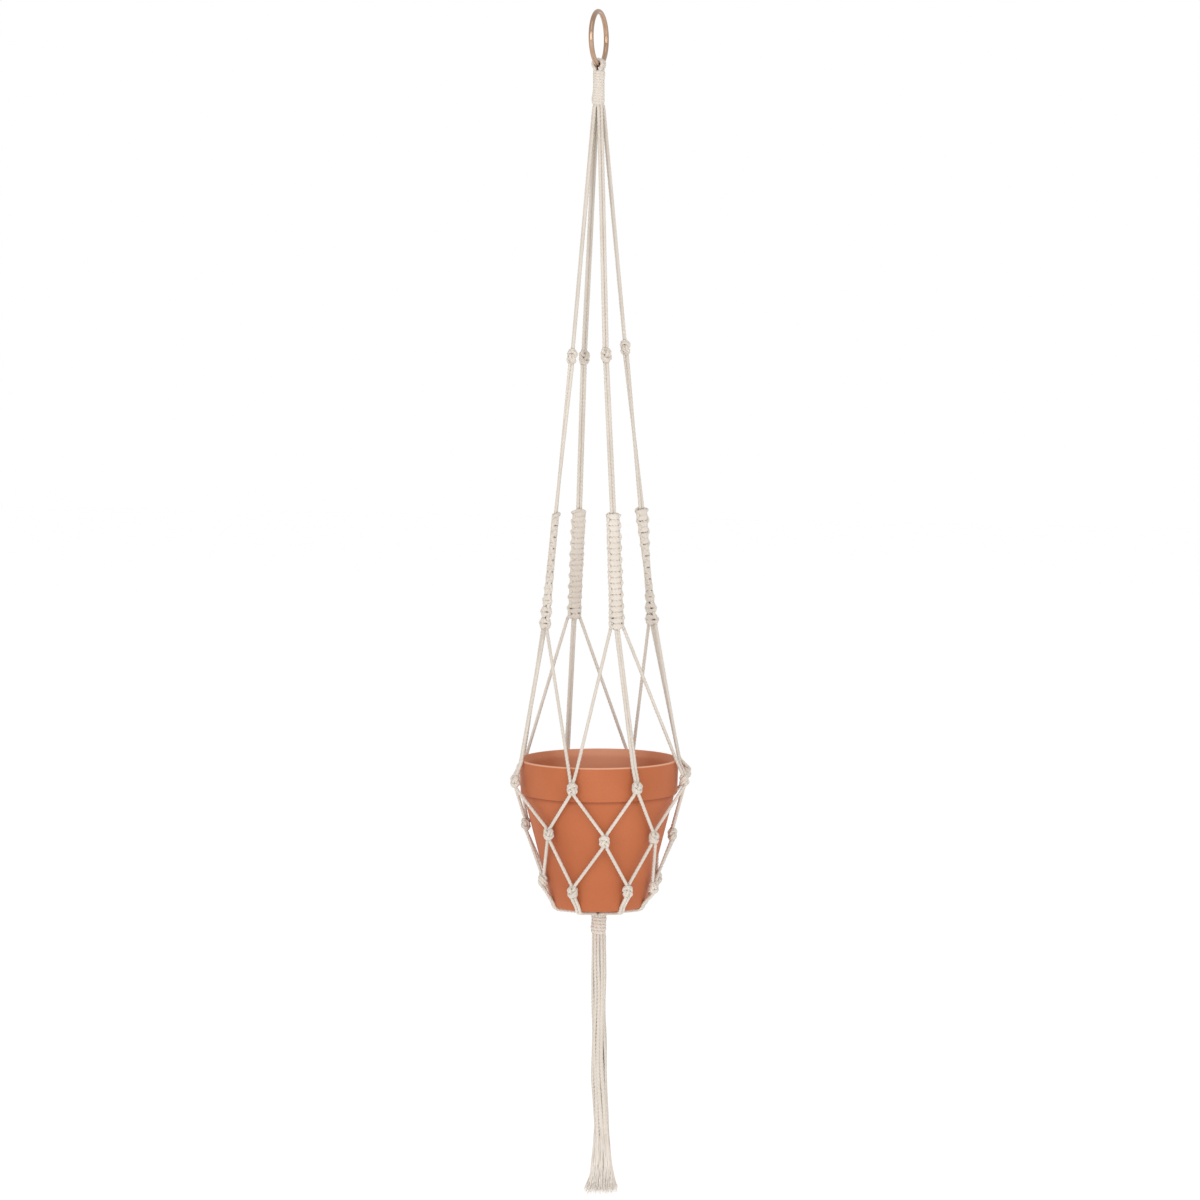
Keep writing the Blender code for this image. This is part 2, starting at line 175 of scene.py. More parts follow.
# Soft boxes: (metres up, right and away from their aim, for the camera), (width, height), power
LIGHTS = {
    "left_softbox": ((0.5, -1.1, -2.1), (0.7, 1.1), 8.0),
    "right_softbox": ((0.5, 1.1, -2.1), (0.7, 1.1), 6.5),
    "front_softbox": ((0.4, 0.0, -2.4), (0.35, 0.9), 2.5),
    "top_softbox": ((1.9, 0.0, -1.5), (1.4, 1.4), 3.5),
}
LIGHT_AIM_Z = -0.6
# How many times further off and larger they are, with the same light on the planter
LIGHT_REACH = 1.8
# The light that the white surroundings give
WORLD_LIGHT = 0.74

# The floor
STAGE_HALF = 14.0
STAGE_Z = -1.40

UP = np.array([0.0, 0.0, 1.0])


def polar(degrees, radius, height):
    """A point by its direction round the axis, its distance from it and its height."""
    angle = math.radians(degrees)
    return np.array([radius * math.cos(angle), radius * math.sin(angle), height])


def unit(vector):
    return vector / np.linalg.norm(vector)


def units(vectors):
    return vectors / np.maximum(np.linalg.norm(vectors, axis=1), 1e-9)[:, None]


def clamped(value):
    return min(1.0, max(0.0, value))


def across(point):
    """The level direction that runs round the axis at a point, to the right as seen from outside."""
    return unit(np.array([-point[1], point[0], 0.0]))


def along(points):
    """How far along the line each of its points is."""
    steps = np.linalg.norm(np.diff(points[:, :3], axis=0), axis=1)
    return np.concatenate([[0.0], np.cumsum(steps)])


def resampled(points, count):
    """The line again with that many points, evenly spaced. All of its columns are kept."""
    at = along(points)
    even = np.linspace(0, at[-1], count)
    return np.stack([np.interp(even, at, column) for column in points.T], axis=1)


def smoothed(points, rounds):
    points = points.copy()
    for _ in range(rounds):
        points[1:-1] = (points[:-2] + 2 * points[1:-1] + points[2:]) / 4
    return points


def curve_through(points, per_span):
    """A Catmull-Rom curve through the points."""
    points = np.asarray(points, float)
    padded = np.concatenate([[2 * points[0] - points[1]], points, [2 * points[-1] - points[-2]]])
    share = np.linspace(0, 1, per_span, endpoint=False)[:, None]
    spans = []
    for a, b, c, d in zip(padded, padded[1:], padded[2:], padded[3:]):
        bend = (2 * a - 5 * b + 4 * c - d) * share**2 + (3 * b - a - 3 * c + d) * share**3
        spans.append(0.5 * (2 * b + (c - a) * share + bend))
    return np.concatenate([*spans, points[-1:]])


def bent_curve(start, bend, end, count):
    """A curve that leaves start towards the bend, and comes to end from it."""
    share = np.linspace(0, 1, count)[:, None]
    return (1 - share) ** 2 * start + 2 * share * (1 - share) * bend + share**2 * end


# Drawing cords tight

# The share of the rounds in which lines shorten, and the pulls in each round
SHORTENING_ROUNDS = 0.8
PULLS = 6
BENDING = 0.12
PUSH = 1.5
# Points nearer than this many thicknesses along a line may touch
NEIGHBOURS = 1.4


def draw_tight(lines, thickness, length_share, rounds):
    """Shortens lines, whose ends stay in place, while their points keep a thickness apart."""
    sizes = [len(line) for line in lines]
    points = np.concatenate(lines)
    line_of = np.repeat(np.arange(len(lines)), sizes)
    place = np.concatenate([np.arange(size) for size in sizes])
    to_last = np.repeat(sizes, sizes) - 1 - place
    from_end = np.minimum(place, to_last)
    free = (from_end > 1)[:, None].astype(float)
    a = np.flatnonzero(to_last > 0)
    rest = np.linalg.norm(points[a + 1] - points[a], axis=1)
    middle = np.flatnonzero(from_end > 0)
    far = max(2, math.ceil(NEIGHBOURS * thickness / rest.mean()))
    kept_apart = (line_of[:, None] != line_of) | (np.abs(place[:, None] - place) >= far)
    pairs = np.nonzero(np.triu(kept_apart, 1))
    for step in range(rounds):
        share = 1 - (1 - length_share) * min(1.0, step / (SHORTENING_ROUNDS * rounds))
        bend = (points[middle - 1] + points[middle + 1]) / 2 - points[middle]
        points[middle] += BENDING * bend * free[middle]
        for _ in range(PULLS):
            for odd in (0, 1):
                chosen = place[a] % 2 == odd
                pull_links(points, a[chosen], rest[chosen] * share, free)
            push_apart(points, pairs, thickness, free)
    return np.split(points, np.cumsum(sizes)[:-1])


def pull_links(points, first, rest, free):
    """Gives the links that start at the first points their lengths. No two share a point."""
    after = first + 1
    way = points[after] - points[first]
    length = np.linalg.norm(way, axis=1)
    change = ((length - rest) / np.maximum(length, 1e-9))[:, None] * way
    weight = np.maximum(free[first] + free[after], 1e-9)
    points[first] += change * free[first] / weight
    points[after] -= change * free[after] / weight


def push_apart(points, pairs, thickness, free):
    """Moves each pair of points that is closer than the thickness apart again."""
    first, second = pairs
    way = points[second] - points[first]
    square = (way * way).sum(axis=1)
    hit = square < thickness**2
    if not hit.any():
        return
    first, second, way = first[hit], second[hit], way[hit]
    length = np.sqrt(np.maximum(square[hit], 1e-14))
    push = ((thickness - length) / length / 2)[:, None] * way
    total, count = np.zeros_like(points), np.zeros(len(points))
    for point, change in ((first, -push), (second, push)):
        np.add.at(total, point, change)
        np.add.at(count, point, 1)
    points += PUSH * free * total / np.maximum(count, 1)[:, None]


# The overhand knot, tied in two cords

# The loose knot: its size and depth, and how far its ends reach
KNOT_SIZE = 0.0027
KNOT_DEPTH = 0.0023
KNOT_LEAD = 0.0180
# The tight knot: half the height where it is cut off, and half the height of its middle
KNOT_CUT = 0.0066
KNOT_CORE = 0.0045
# It is drawn tight as one thick line, and then as two: (thickness, share of the length that is left)
SINGLE_LINE = (0.0037, 0.74)
TWO_LINES = (0.0027, 0.945)
TIGHTENING_ROUNDS = 480
NET_KNOT_TALL = 0.90
ARM_KNOT_TALL = 1.16


def loose_overhand():
    """The line of a loose overhand knot: an opened trefoil whose ends go up and down."""
    turn = np.linspace(-math.pi + 0.35, math.pi - 0.35, 60)
    x = np.cos(turn) - 2 * np.cos(2 * turn)
    z = np.sin(turn) + 2 * np.sin(2 * turn)
    core = np.stack([x, -np.sin(3 * turn) * KNOT_DEPTH / KNOT_SIZE, z], axis=1)
    lead = np.array([
        (0.2, 0.0, KNOT_LEAD / KNOT_SIZE), (-0.6, 0.0, 5.2), (-2.4, 0.1, 3.6), (-3.6, 0.2, 1.6),
        (-3.2, 0.1, 0.55),
    ])
    tail = lead[::-1] * [1, -1, -1]
    return np.concatenate([lead, core, tail]) * KNOT_SIZE


def side_by_side(line, spacing):
    """Two lines that follow a knotted line like a flat band lying on the knot."""
    outwards = line - line[np.abs(line[:, 2]) < 0.007].mean(axis=0)
    side = units(np.cross(units(np.gradient(line, axis=0)), outwards))
    for i in range(1, len(side)):
        if side[i] @ side[i - 1] < 0:
            side[i] *= -1
    count = len(line)
    level = np.zeros_like(side)
    for half, sample in ((slice(0, count // 2), count // 8), (slice(count // 2, count), -count // 8)):
        level[half, 0] = 1.0 if side[sample, 0] >= 0 else -1.0
    at_end = np.clip((np.abs(np.linspace(-1, 1, count)) - 0.62) * 6, 0, 1)[:, None]
    side = units(smoothed(side * (1 - at_end) + level * at_end, 6))
    return [line - side * spacing / 2, line + side * spacing / 2]


def tie_overhand():
    """The two lines of the tight knot, cut off above and below it. The first starts on the left."""
    loose = smoothed(resampled(curve_through(loose_overhand(), 6), 84), 2)
    (single,) = draw_tight([loose], *SINGLE_LINE, TIGHTENING_ROUNDS)
    pair = [smoothed(resampled(line, 88), 1) for line in side_by_side(single, TWO_LINES[0])]
    pair = draw_tight(pair, *TWO_LINES, TIGHTENING_ROUNDS)
    core = np.concatenate([line[np.abs(line[:, 2]) < KNOT_CORE] for line in pair])
    middle = (core.min(axis=0) + core.max(axis=0)) / 2 * [1, 1, 0]
    cut = []
    for line in pair:
        inside = np.flatnonzero(np.abs(line[:, 2]) < KNOT_CUT)
        cut.append(line[inside[0]:inside[-1] + 1] - middle)
    shift_from = KNOT_CORE * 0.6
    for end in (0, -1):
        aside = (cut[0][end] + cut[1][end]) / 2 * [1, 1, 0]
        top = math.copysign(1, cut[0][end, 2])
        for line in cut:
            share = np.clip((line[:, 2] * top - shift_from) / (KNOT_CUT - shift_from), 0, 1)
            line -= (share * share * (3 - 2 * share))[:, None] * aside
    return sorted(cut, key=lambda line: line[0, 0])


def tied(template, centre, up, turn, mirrored, tall):
    """The knot's two lines at a place, from the top left and right, and whether they change sides in it."""
    side = across(centre)
    outwards = unit(np.cross(side, up))
    angle = math.radians(turn)
    placed = []
    for line in template:
        x, y, z = (line * [-1 if mirrored else 1, 1, tall]).T
        x, y = x * math.cos(angle) - y * math.sin(angle), x * math.sin(angle) + y * math.cos(angle)
        placed.append(centre + np.outer(x, side) + np.outer(y, outwards) + np.outer(z, up))
    placed.sort(key=lambda line: line[0] @ side)
    swapped = placed[0][-1] @ side > placed[1][-1] @ side
    return placed, swapped


# The braid of square knots

PITCH = 0.0109
BRAID_EDGE = 0.0060
BRAID_DEPTH = 0.0029
EDGE_DEPTH = 0.0020
FILLER_HALF = 0.0016
# How much further out the front cord and the back cord turn at the right edge
RIGHT_EDGE = (0.92, 1.10)
# A cord that crosses the front of the fillers, in shares: (across, out, down, how far pressed)
CROSSING = (
    (-1.00, -1.00, 0.00, 0.0), (-0.98, -0.30, 0.27, 0.1), (-0.78, 0.66, 0.47, 0.8), (-0.40, 1.00, 0.52, 1.0),
    (0.00, 1.04, 0.50, 1.0), (0.40, 1.00, 0.48, 1.0), (0.78, 0.60, 0.47, 0.8), (0.98, -0.35, 0.68, 0.1),
)
# How much wider a braid is at the middle of a knot than between knots
BEAD_WIDTH = 0.06


def crossing(top, way):
    """Control points of a crossing cord. way is 1 from left to right and -1 back again."""
    points = []
    for x, y, z, press in CROSSING:
        depth = BRAID_DEPTH if y > 0 else EDGE_DEPTH
        points.append((way * x * BRAID_EDGE, y * depth, top + z * PITCH / 2, press))
    return points


def braid_cell():
    """One square knot that repeats: the lines of its front cord, its back cord and its two fillers."""
    control = np.array(crossing(0.0, 1) + crossing(PITCH / 2, -1))
    shift = [0, 0, PITCH, 0]
    front = curve_through([control[-1] - shift, *control, *(control[:2] + shift)], 4)[4:-5]
    heights = np.linspace(0, PITCH, 9)[:-1, None]
    fillers = [heights * [0, 0, 1, 0] + [x, 0, 0, 0] for x in (-FILLER_HALF, FILLER_HALF)]
    back = front * [-1, -1, 1, 1]
    for line, grow in zip((front, back), RIGHT_EDGE):
        line[:, 0] *= np.where(line[:, 0] > 0, grow, 1.0)
    return [front, back, *fillers]


# Cords


class Cord:
    """A cord as rows of (x, y, z, and the vector along which it is pressed flat), with its pieces."""

    def __init__(self):
        self.rows = []
        self.marks = []

    def run(self, piece, points, wide=None):
        """Leads the cord on through points, as part of a piece."""
        points = np.asarray(points, float)
        wide = np.zeros_like(points) if wide is None else wide
        first = max(len(self.rows) - 1, 0)
        self.rows += np.hstack([points, wide]).tolist()
        self.marks.append((piece, first, len(self.rows) - 1))
        return self

    def end(self):
        return np.array(self.rows[-1][:3])


def section_radii():
    """The distance from the middle of each point round a cord of three plies, pressed together."""
    ply = PLY_RADIUS_SHARE * CORD / 2
    off = CORD / 2 - ply
    turn = 2 * math.pi * np.arange(POINTS_ROUND) / POINTS_ROUND
    from_ply = (turn + math.pi / 3) % (2 * math.pi / 3) - math.pi / 3
    return off * np.cos(from_ply) + np.sqrt(ply**2 - (off * np.sin(from_ply)) ** 2)


def turning_frames(line):
    """Unit tangents, and normals carried along the line without twist."""
    ways = units(np.gradient(line, axis=0))
    start = np.array([1.0, 0, 0]) if abs(ways[0][0]) < 0.8 else np.array([0, 1.0, 0])
    normals = [unit(start - ways[0] * (start @ ways[0]))]
    for way in ways[1:]:
        normals.append(unit(normals[-1] - way * (normals[-1] @ way)))
    return ways, np.array(normals)


def cord_rings(rows, phase):
    """The rings of points round a laid cord, one for each row."""
    line = rows[:, :3]
    ways, normals = turning_frames(line)
    binormals = np.cross(ways, normals)
    turn = phase + 2 * math.pi * RING_STEP / LAY * np.arange(len(line))
    angles = (turn[:, None] + 2 * math.pi * np.arange(POINTS_ROUND) / POINTS_ROUND)[:, :, None]
    spokes = np.cos(angles) * normals[:, None] + np.sin(angles) * binormals[:, None]
    return line[:, None] + pressed(spokes * section_radii()[:, None], rows[:, 3:], ways)


def pressed(spokes, wide, ways):
    """Widens the spokes along each row's vector by its length, and thins them across it."""
    amount = np.linalg.norm(wide, axis=1)[:, None, None]
    thin = np.cross(ways, units(wide))
    widened, thinned = [
        (spokes * way[:, None]).sum(axis=2, keepdims=True) * way[:, None] for way in (units(wide), thin)
    ]
    return spokes + amount * (widened - 0.6 * thinned)


PIECES = {}


def lay_cord(cord, seed):
    """Cuts the finished cord into the stretches of its pieces, and files them in PIECES."""
    rows = np.array(cord.rows)
    at = along(rows)
    count = max(3, round(at[-1] / RING_STEP) + 1)
    fine = smoothed(resampled(rows, count), 3)
    step = at[-1] / (count - 1)
    rings = cord_rings(fine, phase=LAY_TURN * seed)
    lengths = np.arange(count) * step + LAY_SHIFT * seed
    for piece, first, last in cord.marks:
        start, stop = round(at[first] / step), round(at[last] / step)
        if stop > start:
            part = slice(start, stop + 1)
            PIECES.setdefault(piece, []).append((rings[part], lengths[part], fine[part, :3]))


def tube_faces(ring_count, points_round, base):
    """Quads between neighbouring rings, and a cap at each end."""
    ring = np.arange(ring_count - 1)[:, None] * points_round + base
    here = np.arange(points_round)
    after = (here + 1) % points_round
    corners = [ring + here, ring + after, ring + points_round + after, ring + points_round + here]
    quads = np.stack(corners, axis=2).reshape(-1, 4).tolist()
    last_cap = base + (ring_count - 1) * points_round + here
    return [*quads, (base + here[::-1]).tolist(), last_cap.tolist()]


def tubes_mesh(name, tubes):
    """One mesh of several closed tubes: each is (rings, the length along the cord at each ring).

    Its UV map holds the way round the cord and the length along it, in centimetres."""
    verts, faces, corner_uv = [], [], []
    base = 0
    for rings, lengths in tubes:
        points_round = rings.shape[1]
        verts.append(rings.reshape(-1, 3))
        faces += tube_faces(len(rings), points_round, base)
        base += len(rings) * points_round
        round_at = np.arange(points_round + 1) / points_round * math.pi * CORD * 100
        up_at = lengths * 100
        for low, high in zip(up_at, up_at[1:]):
            for left, right in zip(round_at, round_at[1:]):
                corner_uv += [(left, low), (right, low), (right, high), (left, high)]
        corner_uv += [(0.0, up_at[0])] * points_round + [(0.0, up_at[-1])] * points_round
    mesh = smooth_mesh(name, verts, faces)
    mesh.uv_layers.new(name="cord").data.foreach_set("uv", np.array(corner_uv, np.float32).ravel())
    return mesh


def smooth_mesh(name, verts, faces):
    mesh = bpy.data.meshes.new(name)
    mesh.from_pydata(np.concatenate(verts).tolist(), [], faces)
    mesh.shade_smooth()
    return mesh


def add_object(name, data):
    item = bpy.data.objects.new(name, data)
    bpy.context.scene.collection.objects.link(item)
    return item


def add_piece(name, mesh, material):
    mesh.materials.append(material)
    return add_object(name, mesh)


def cord_piece(name, material, nodes=None):
    """The piece made of all the stretches filed under its name, standing for its CAD nodes."""
    mesh = tubes_mesh(name, [(rings, lengths) for rings, lengths, _ in PIECES[name]])
    item = add_piece(name + "_rope", mesh, material)
    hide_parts(*(nodes or [name]))
    return item


# The sling, cord by cord


def loop_cords():
    """The cords folded over the ring's wire, with their ends inside the wrap."""
    reach = RING_WIRE / 2 + LOOP_CLEARANCE + CORD / 2
    turns = np.radians(np.linspace(0, 180, 13))
    cords = []
    for i in range(LOOP_CORDS):
        y = (i - (LOOP_CORDS - 1) / 2) * LOOP_SPACING
        centre = WIRE_BOTTOM + RING_RADIUS - math.sqrt(RING_RADIUS**2 - y**2)
        over = [(reach * math.cos(a), y, centre + reach * math.sin(a)) for a in turns]
        near, far = [[(side * x, y * share, z) for x, share, z in LOOP_LEGS] for side in (1, -1)]
        cords.append(Cord().run("ring_loops", curve_through([*near[::-1], *over, *far], 4)))
    return cords


def wrap_coil(piece, wrap, bumps):
    """The wrapping cord: a close coil whose two ends are drawn in under its turns."""
    radius = wrap["radius"] - CORD / 2 * (1 - 0.6 * WRAP_PRESSED)
    top, bottom = wrap["top"] - CORD * 0.3, wrap["bottom"] + CORD / 2
    last, count = (wrap["turns"] - 1) * 360, (wrap["turns"] - 1) * 20
    points = [polar(-40, radius * 0.55, top - 0.002), polar(-18, radius * 0.85, top - 0.0004)]
    for i in range(count + 1):
        degrees = last * i / count
        height = top + (bottom - top) * i / count
        out = radius
        for at, middle, reach, rise in bumps:
            facing = max(0.0, math.cos(math.radians(degrees - at)))
            out += rise * math.exp(-((height - middle) / reach) ** 2) * facing**6
        points.append(polar(degrees, out, height))
    points.append(polar(last + 18, radius * 0.85, bottom + 0.0004))
    points.append(polar(last + 40, radius * 0.55, bottom + 0.002))
    return Cord().run(piece, points, np.tile(UP * WRAP_PRESSED, (len(points), 1)))


def arm_points(arm):
    return {
        "start": polar(arm["knot_at"], ARM_START["radius"], ARM_START["height"]),
        "knot": polar(arm["knot_at"], OVERHAND_RADIUS, arm["knot"]),
        "top": polar(arm["sinnet_at"], SINNET_TOP_RADIUS, arm["top"]),
        "bottom": polar(arm["sinnet_at"], SINNET_BOTTOM_RADIUS, arm["bottom"]),
    }


def start_arm(name, arm, template):
    """The arm's two cords from inside the wrap, through the overhand knot: (left, right)."""
    at = arm_points(arm)
    side, up = across(at["start"]), unit(at["start"] - at["top"])
    inside = polar(arm["knot_at"], 0.0026, TOP_WRAP["bottom"] + 0.006)
    edge = polar(arm["knot_at"], 0.0036, TOP_WRAP["bottom"] + 0.0008)
    lines, swapped = tied(template, at["knot"], up, arm["turned"], arm["mirrored"], ARM_KNOT_TALL)
    cords = []
    for sign, line in zip((-1, 1), lines):
        points = [middle + side * sign * PAIR_HALF for middle in (inside, edge, at["start"])]
        cord = Cord().run(f"{name}_upper_cords", [*points, line[0]])
        cords.append(cord.run(f"{name}_overhand_knot", line[1:]))
    return cords[::-1] if swapped else cords


def braid_frame(arm, share):
    """The braid's middle and its directions across and outwards, at a share of its length."""
    at = arm_points(arm)
    down = unit(at["bottom"] - at["top"])
    centre = at["top"] + (at["bottom"] - at["top"]) * share
    turn = math.radians(arm["twist"][0] + (arm["twist"][1] - arm["twist"][0]) * share)
    side = across(centre)
    out = unit(np.cross(down, side))
    wide = math.cos(turn) * side - math.sin(turn) * out
    deep = math.cos(turn) * out + math.sin(turn) * side
    return centre, wide, deep, down


def braid_lines(arm, cell):
    """The braid's four lines: rows of a point and the vector along which it is pressed flat."""
    at = arm_points(arm)
    length = np.linalg.norm(at["bottom"] - at["top"])
    stretch = length / (SQUARE_KNOTS * PITCH)
    beads = arm["beads"]
    made = []
    for number, line in enumerate(cell):
        rows = []
        for knot in range(SQUARE_KNOTS):
            for x, y, z, press in line:
                turn = 2 * math.pi * z / PITCH
                place = (knot * PITCH + z + beads["pull"] * math.sin(turn)) * stretch
                share = place / length
                loose = clamped((share - beads["loose_from"]) / 0.08)
                centre, wide, deep, down = braid_frame(arm, share)
                uneven = 1 + 0.03 * math.sin(2.1 * knot + arm["knot_at"])
                bead = -math.cos(turn) * (1 + 0.5 * loose)
                grow = uneven * (1 + BEAD_WIDTH * bead) + (0.12 if number < 2 else -0.22) * loose
                point = centre + wide * x * grow + deep * y * (1 + beads["deep"] * bead)
                at_side = clamped((abs(x) / BRAID_EDGE - 0.45) / 0.25)
                rows.append(np.concatenate([point, down * press * (1 - 0.95 * loose * at_side)]))
        made.append(np.array(rows))
    return made


def braid_arm(name, arm, cords, cell):
    """Leads the arm's two cords through its braid, and ties it with two more: all four, left to right."""
    front, back, left_filler, right_filler = braid_lines(arm, cell)
    piece = f"{name}_sinnet"
    for cord, filler in zip(cords, (left_filler, right_filler)):
        cord.run(f"{name}_middle_cords", [cord.end(), filler[0, :3]])
        cord.run(piece, filler[1:, :3])
    centre, wide, deep, down = braid_frame(arm, 0.0)
    singles = []
    for sign, line in ((-1, front), (1, back)):
        start = []
        for x, y, z in BRAID_START:
            ear = BRAID_EAR if sign > 0 and x > 0.006 else 0.0
            start.append(centre + wide * sign * (x + ear) + deep * y + down * z)
        singles.append(Cord().run(piece, start).run(piece, line[4:, :3], line[4:, 3:]))
    return [singles[0], cords[0], cords[1], singles[1]]


def over_rim(start, end):
    """The point between start and end where a cord bends round the pot's rim."""
    share = (POT_TOP - 0.002 - start[2]) / (end[2] - start[2])
    bend = start + (end - start) * share
    return unit(bend * [1, 1, 0]) * (RIM_RADIUS + CORD / 2 + CLEARANCE) + UP * bend[2]


def knot_between(name, pair, pieces, place, template, number):
    """Leads two cords into a net knot, as parts of two pieces, and through it: (left, right) below it."""
    turn = NET_TURNS[number % len(NET_TURNS)]
    lines, swapped = tied(template, polar(*place), UP, turn, number % 3 == 1, NET_KNOT_TALL)
    for cord, piece, line in zip(pair, pieces, lines):
        bend = [over_rim(cord.end(), line[0])] if number < len(NET_ROWS[0]) else []
        cord.run(piece, [*bend, line[0]])
        cord.run(name, line[1:])
    return pair[::-1] if swapped else pair


def led_from_arms(arms, k):
    """The two cords that meet in a knot of the first row, and the pieces that lead them there."""
    names = list(ARMS)
    arm, odd = divmod(k, 2)
    here, after = names[arm], names[(arm + 1) % 4]
    if odd:
        return (arms[here][3], arms[after][0]), (f"{here}_right_cord", f"{after}_left_cord")
    return arms[here][1:3], [f"{here}_centre_cords"] * 2


def net_cords(arms, template):
    """Leads all sixteen cords from the braids down to the net's last row."""
    below = {}
    for row, places in enumerate(NET_ROWS):
        for k, place in enumerate(places):
            if row == 0:
                pair, pieces = led_from_arms(arms, k)
            else:
                upper = (k + 1) % 8
                pair = (below[row - 1, k][1], below[row - 1, upper][0])
                pieces = (f"net_row_{row}_knot_{k + 1}", f"net_row_{row}_knot_{upper + 1}")
            name = f"net_row_{row + 1}_knot_{k + 1}"
            below[row, k] = knot_between(name, pair, pieces, place, template, 8 * row + k)
    return below


def under_pot(cord, knot_place, number, sign):
    """Leads a cord of a pair round the pot's base edge and in to the wrap under it."""
    reach = BASE_EDGE + CORD / 2 + CLEARANCE
    middles = []
    for turn in np.radians(np.linspace(0, -90, 6)):
        out, rise = reach * math.cos(turn), reach * math.sin(turn)
        middles.append(polar(knot_place[0], BASE_RADIUS - BASE_EDGE + out, POT_BOTTOM + BASE_EDGE + rise))
    gather_z = BOTTOM_WRAP["top"] + CORD / 2 + CLEARANCE
    middles.append(polar(FIRST_GATHER_ANGLE + 45 * number, GATHER_RADIUS, gather_z))
    points = [middle + across(middle) * sign * PAIR_HALF for middle in middles]
    cord.run(f"net_row_3_knot_{number + 1}", points)


# The tassel

# Sixteen cords: some hang inside, and the rest in a ring round them
TASSEL_INNER = (1, 4, 7, 10, 13)
TASSEL_RADII = (
    (-0.9150, 0.0072), (-0.9300, 0.0073), (-1.0050, 0.0074), (-1.0400, 0.0080), (-1.0650, 0.0085),
    (-1.1150, 0.0079), (-1.1310, 0.0078), (-1.1440, 0.0081), (-1.1570, 0.0094), (-1.1650, 0.0117),
    (-1.1700, 0.0140), (-1.1767, 0.0172), (-1.1825, 0.0184),
)
TASSEL_DRIFT = (
    (-1.0000, 0.0), (-1.0600, 0.0004), (-1.1000, 0.0016), (-1.1400, 0.0037), (-1.1550, 0.0041),
    (-1.1767, 0.0022), (-1.1825, 0.0020),
)
CORD_END = -1.1560
END_SPREAD = 0.004
# How far out the inner cords hang, as a share, and how far each cord waves: metres out, degrees round
INNER_SHARE = 0.42
WAVE_OUT = 0.0005
WAVE_ROUND = 7
# How flat the lower cords are pressed, from what height down, and over what distance this sets in
TASSEL_PRESSED = 0.34
PRESSED_BELOW = -0.960
PRESSED_OVER = 0.080
# The wisps at each cord's end
WISPS = 64
WISP_STARTS = (-1.150, -1.110)
WISP_ENDS = (-1.1818, -1.1735)
WISP_THICKNESS = (0.00028, 0.00055)
WISP_DROP = 0.0080
WISP_SWAY = 0.0005


def table_value(table, height):
    """The second column at a height, between the rows of a table that goes down."""
    rows = np.array(table[::-1])
    return float(np.interp(height, rows[:, 0], rows[:, 1]))


def tassel_middle(height):
    """The middle of the tassel, which hangs a little to the right of the axis lower down."""
    return polar(CAMERA_TURN, table_value(TASSEL_DRIFT, height), height)


def tassel_line(angle, inner, rng):
    """One loose cord of the tassel, from the wrap to its end, and how it is pressed."""
    top = BOTTOM_WRAP["bottom"]
    end = CORD_END - END_SPREAD * rng.random()
    phase, rate = rng.uniform(0, 2 * math.pi), rng.uniform(55, 90)
    points, wide = [], []
    for height in np.linspace(top - 0.001, end, 40):
        outline = table_value(TASSEL_RADII, height) - CORD * 0.45
        loose = clamped((top - height) / 0.05)
        out = outline * (INNER_SHARE if inner else 1.0)
        out += WAVE_OUT * loose * math.sin(phase + rate * height)
        turn = angle + WAVE_ROUND * loose * math.sin(0.6 * phase + rate * 0.6 * height)
        points.append(tassel_middle(height) + polar(turn, out, 0))
        wide.append(polar(turn + 90, TASSEL_PRESSED * clamped((PRESSED_BELOW - height) / PRESSED_OVER), 0))
    return points, wide


def tassel_cords(below, rng):
    """Leads the sixteen cords round the pot, through the lower wrap and down the tassel."""
    top, bottom = BOTTOM_WRAP["top"], BOTTOM_WRAP["bottom"]
    order = []
    for number, place in enumerate(NET_ROWS[2]):
        for sign, cord in zip((-1, 1), below[2, number]):
            under_pot(cord, place, number, sign)
            order.append(cord)
    counts = {True: 0, False: 0}
    for i, cord in enumerate(order):
        inner = i in TASSEL_INNER
        spacing = 360 / (len(TASSEL_INNER) if inner else len(order) - len(TASSEL_INNER))
        angle = FIRST_GATHER_ANGLE + spacing * (counts[inner] + (0.5 if inner else 0))
        counts[inner] += 1
        entry = FIRST_GATHER_ANGLE + 22.5 * (i - 0.5)
        inside = [polar(entry, 0.0052, top - 0.0016), polar(entry, 0.0040, top - 0.006)]
        inside.append(polar(angle, 0.0020 if inner else 0.0046, bottom + 0.003))
        cord.run("bottom_wrap", inside)
        cord.run(f"tassel_cord_{i + 1}", *tassel_line(angle, inner, rng))
    return order


